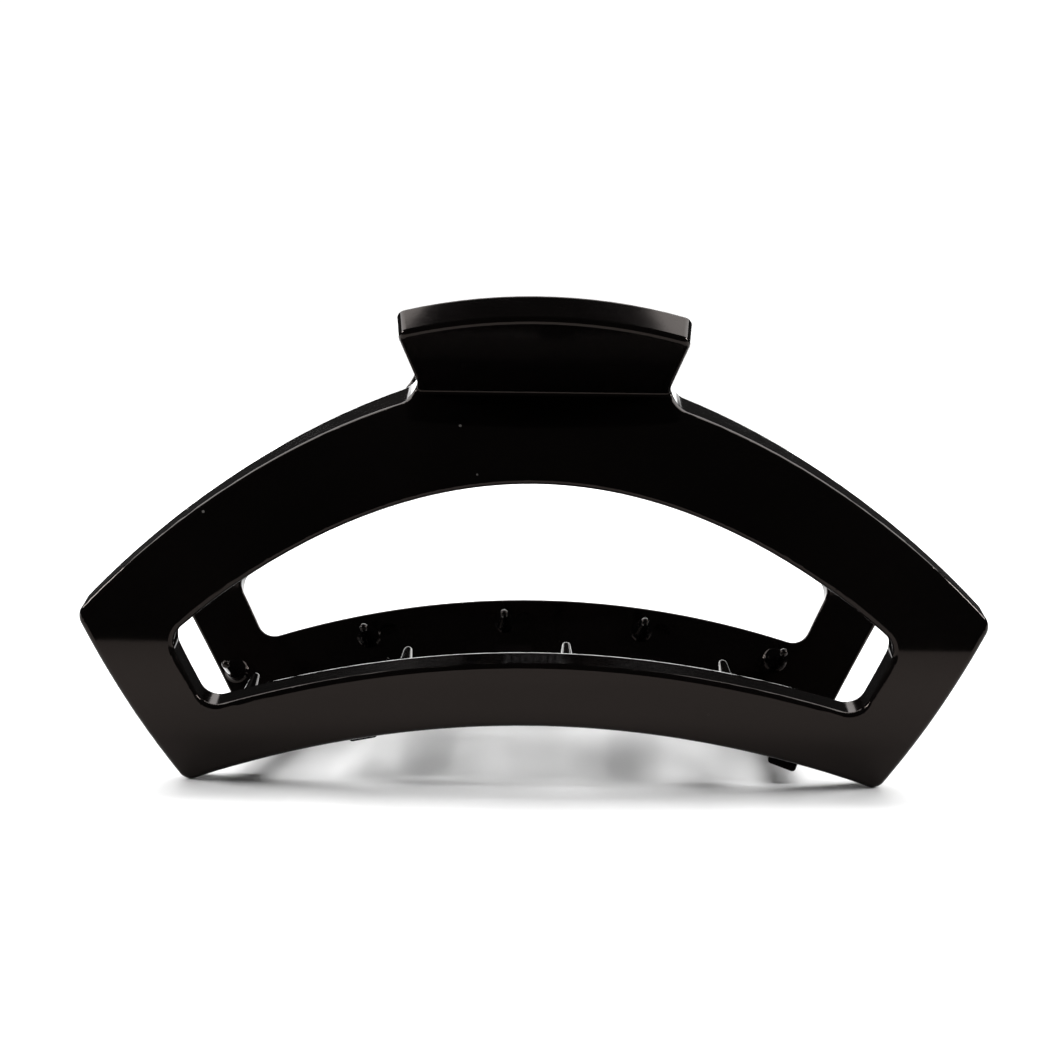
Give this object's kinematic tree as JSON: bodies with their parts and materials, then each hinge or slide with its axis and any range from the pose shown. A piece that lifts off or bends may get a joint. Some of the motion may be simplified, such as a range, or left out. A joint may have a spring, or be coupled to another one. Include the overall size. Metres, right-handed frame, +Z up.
{
  "type": "hair claw clip",
  "caption": "Wide open-frame hair claw clip: two arched jaws with windows, grip pegs and claws, thumb handles, a hinge pin and a coil spring.",
  "frame": {"origin": "middle of the closed clip's bounding box, on the surface that its jaw corners stand on", "axes": "+X along the clip's width and the hinge, front jaw at -Y, +Z up from the jaw corners to the handles"},
  "size_m": [0.1104, 0.048, 0.0604],
  "materials": {
    "jaw_plastic": "polished black injection moulding",
    "pin_steel": "drawn steel pin",
    "spring_steel": "drawn spring wire"
  },
  "bodies": {
    "rear_assembly": {"rear_jaw": "jaw_plastic", "hinge_pin": "pin_steel", "torsion_spring": "spring_steel"},
    "front_assembly": {"front_jaw": "jaw_plastic"}
  },
  "joints": [
    {"name": "jaw_hinge", "type": "hinge", "parent": "rear_assembly", "child": "front_assembly", "pos_m": [0, 0, 0.04487], "axis": [-1, 0, 0], "range_deg": [0, 60], "stiffness_Nm_per_rad": 0.106, "springref_deg": -20.05, "deforming": ["torsion_spring"]}
  ]
}
